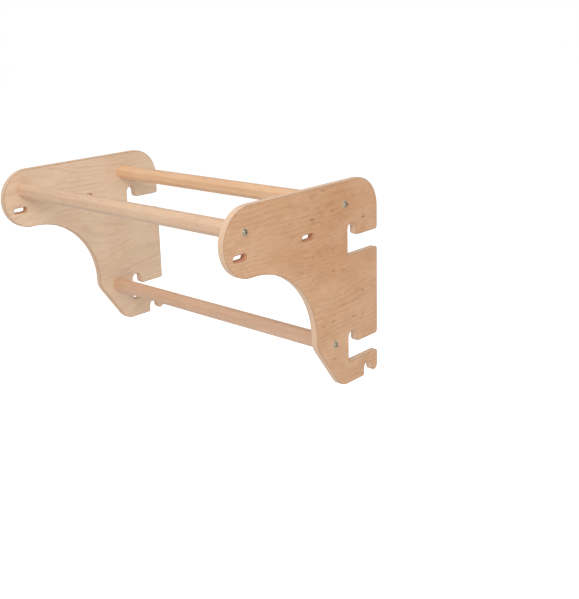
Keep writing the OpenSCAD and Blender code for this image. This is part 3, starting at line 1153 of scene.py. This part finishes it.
@dataclass
class PullUpBar:
    """The whole bar: its finishes, two side panels, three rungs and what holds their six ends."""

    zinc: PlatedMetal = field(default_factory=lambda: PlatedMetal(
        "zinc_plated_steel", bright=srgb(204, 194, 172), dull=srgb(142, 133, 114), roughness=0.36))
    washer_zinc: PlatedMetal = field(default_factory=lambda: PlatedMetal(
        "matt_zinc", bright=srgb(232, 222, 204), dull=srgb(214, 202, 182), roughness=0.6))
    brass: PlatedMetal = field(default_factory=lambda: PlatedMetal(
        "plain_brass", bright=srgb(214, 184, 120), dull=srgb(176, 146, 88), roughness=0.3))
    knots_ahead: float = 70 * MM
    knots_below: float = 20 * MM

    def veneer(self, side: Side) -> BirchVeneer:
        """The face finish of one panel. The two boards come from sheets of slightly different colour.

        Args:
            side: The panel's side.

        Returns:
            The finish.
        """
        low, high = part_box("bolt_rear_right")
        knots = (high.x, low.y - self.knots_ahead, low.z - self.knots_below)
        if side is Side.LEFT:
            return BirchVeneer("birch_veneer_pale", pale=srgb(235, 208, 181), deep=srgb(219, 187, 158),
                               warm=srgb(220, 186, 150), band=srgb(190, 154, 120), fleck=srgb(168, 126, 92),
                               fleck_share=0.004, fleck_centre=knots, fleck_reach=0.05,
                               bands_per_metre=60.0, wander=14.0, band_strength=0.26, stain=0.2)
        return BirchVeneer("birch_veneer_warm", pale=srgb(229, 188, 154), deep=srgb(201, 157, 120),
                           warm=srgb(206, 150, 106), band=srgb(176, 130, 92), fleck=srgb(120, 74, 44),
                           fleck_share=0.055, fleck_centre=knots)

    @staticmethod
    def plies(name: str, side: Side, tones: Sequence[Colour]) -> PlywoodEdge:
        """A finish of cut plies, fitted to one panel's thickness.

        Args:
            name: The finish's name, before the side.
            side: The panel's side.
            tones: Its pale wood, end grain, glue and the darker tone of the outermost plies.

        Returns:
            The finish.
        """
        low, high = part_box(f"{side.word}_side_panel")
        inner = min(abs(low.x), abs(high.x))
        return PlywoodEdge(f"{name}_{side.word}", *tones, inner_x=inner, thickness=high.x - low.x)

    def ply_edge(self, side: Side) -> PlywoodEdge:
        """The outer edge of one panel."""
        tones = (srgb(234, 206, 180), srgb(208, 170, 140), srgb(150, 112, 82), srgb(176, 136, 104))
        return self.plies("plywood_edge", side, tones)

    def shaded_slot_wall(self, side: Side) -> PlywoodEdge:
        """The walls of the strap slots and bolt holes, drawn darker and more orange than the outer edge:
        painted shade inside the holes.
        """
        # Painted shade: these tones are darker and more orange than the outer edge's.
        tones = (srgb(230, 180, 144), srgb(190, 132, 94), srgb(128, 82, 52), srgb(160, 106, 72))
        return self.plies("plywood_shaded_slot_wall", side, tones)

    def rung_wood(self, where: RungPlace) -> PlanedWood:
        """The finish of one rung, each cut from another place in the log.

        Args:
            where: The rung.

        Returns:
            The finish.
        """
        low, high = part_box(f"{where.value}_rung")
        middle = (low + high) / 2
        piths = {RungPlace.FRONT: (0.055, -0.035), RungPlace.REAR: (-0.03, -0.06),
                 RungPlace.LOWER: (0.02, 0.07)}
        tones = {RungPlace.FRONT: (srgb(221, 190, 161), srgb(204, 167, 138)),
                 RungPlace.REAR: (srgb(228, 191, 156), srgb(210, 165, 126)),
                 RungPlace.LOWER: (srgb(222, 186, 158), srgb(203, 162, 132))}
        return PlanedWood(f"planed_wood_{where.value}", *tones[where], fleck=srgb(160, 116, 80),
                          axis=(middle.y, middle.z), pith=piths[where])

    def build(self) -> None:
        """Builds the panels, then the rungs, then the fastenings."""
        for side in Side:
            SidePanel(side, self.veneer(side), self.ply_edge(side), self.shaded_slot_wall(side)).build()
        for where in RungPlace:
            Rung(where, self.rung_wood(where)).build()
            for side in Side:
                Fastening(where, side, self.zinc, self.washer_zinc, self.brass).build()


@dataclass
class SoftLight:
    """One square area light that looks at the bar."""

    name: str
    place: Triple
    size: float
    power: float
    colour: Triple = (1.0, 1.0, 1.0)

    def build(self, aim: Vector) -> None:
        """Hangs the light and turns it to a point.

        Args:
            aim: The point, from which its place also counts.
        """
        data = bpy.data.lights.new(self.name, "AREA")
        data.size, data.energy, data.color = self.size, self.power, self.colour
        lamp = bpy.data.objects.new(self.name, data)
        lamp.location = aim + Vector(self.place)
        lamp.rotation_euler = (aim - lamp.location).to_track_quat("-Z", "Y").to_euler()
        bpy.context.scene.collection.objects.link(lamp)


@dataclass
class Camera:
    """The camera: where it stands round the bar's middle, and how it is turned."""

    distance: float = 2.094
    azimuth_deg: float = 48.58
    height_deg: float = 15.66
    heading_deg: float = 44.19
    dip_deg: float = 14.04
    roll_deg: float = -2.11
    lens: float = 55.08
    shift: tuple[float, float] = (0.0643, -0.0993)

    def build(self, middle: Vector) -> None:
        """Makes the camera and sets it as the scene's.

        Args:
            middle: The middle of the bar's box.
        """
        azimuth, height = math.radians(self.azimuth_deg), math.radians(self.height_deg)
        reach = self.distance * math.cos(height)
        place = middle + Vector((reach * math.sin(azimuth), -reach * math.cos(azimuth),
                                 self.distance * math.sin(height)))
        turn = Matrix.Rotation(math.radians(self.heading_deg), 4, "Z")
        tilt = Matrix.Rotation(math.radians(90 - self.dip_deg), 4, "X")
        roll = Matrix.Rotation(math.radians(self.roll_deg), 4, "Z")
        data = bpy.data.cameras.new("studio_camera")
        data.lens, data.shift_x, data.shift_y = self.lens, *self.shift
        camera = bpy.data.objects.new("studio_camera", data)
        camera.matrix_world = Matrix.Translation(place) @ turn @ tilt @ roll
        bpy.context.scene.collection.objects.link(camera)
        bpy.context.scene.camera = camera


@dataclass
class Studio:
    """The pale floor below the hanging bar, the white room round it, soft lights and the camera."""

    drop: float = 0.45
    half_floor: float = 14.0
    floor_cells: int = 8
    room_light: float = 0.34
    lights: tuple[SoftLight, ...] = (
        SoftLight("key_light", place=(1.6, -2.3, 2.1), size=2.2, power=82.0, colour=(1.0, 0.985, 0.96)),
        SoftLight("top_light", place=(-0.4, 0.3, 3.2), size=2.6, power=38.0),
        SoftLight("side_light", place=(3.2, 0.6, 0.4), size=2.6, power=15.0),
    )

    def floor(self, low: Vector, middle: Vector) -> None:
        """Lays a flat floor below the bar, wide enough to fill the view.

        Args:
            low: The lowest corner of the bar.
            middle: The middle of the bar.
        """
        shape = bmesh.new()
        cells = self.floor_cells
        bmesh.ops.create_grid(shape, x_segments=cells, y_segments=cells, size=self.half_floor)
        bmesh.ops.translate(shape, verts=shape.verts, vec=(middle.x, middle.y, low.z - self.drop))
        mesh = bpy.data.meshes.new("studio_floor")
        shape.to_mesh(mesh)
        shape.free()
        mesh.materials.append(PaleFloor().material())
        made = bpy.data.objects.new("studio_floor", mesh)
        bpy.context.scene.collection.objects.link(made)
        made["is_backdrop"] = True

    def room(self) -> None:
        """Makes the white room: white to the eye, and a softer light on the bar."""
        world = bpy.data.worlds.new("white_room")
        world.use_nodes = True
        sheet = Sheet(world.node_tree)
        back = world.node_tree.nodes["Background"]
        back.inputs["Color"].default_value = WHITE
        seen = sheet.node("ShaderNodeLightPath", {}).outputs["Is Camera Ray"]
        sheet.put(back.inputs["Strength"], sheet.ramp(seen, 0.0, 1.0, self.room_light, 1.0))
        bpy.context.scene.world = world
        bpy.context.scene.view_settings.view_transform = "Standard"

    def build(self) -> None:
        """Builds the floor, the room, the lights and the camera round the bar's box."""
        low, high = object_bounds()
        middle = (low + high) / 2
        self.floor(low, middle)
        self.room()
        for light in self.lights:
            light.build(middle)
        Camera().build(middle)


def main() -> None:
    """Builds the bar and the studio in order."""
    logging.basicConfig(level=logging.INFO, format="%(name)s: %(message)s")
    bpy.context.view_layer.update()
    PullUpBar().build()
    Studio().build()


if __name__ == "__main__":
    main()
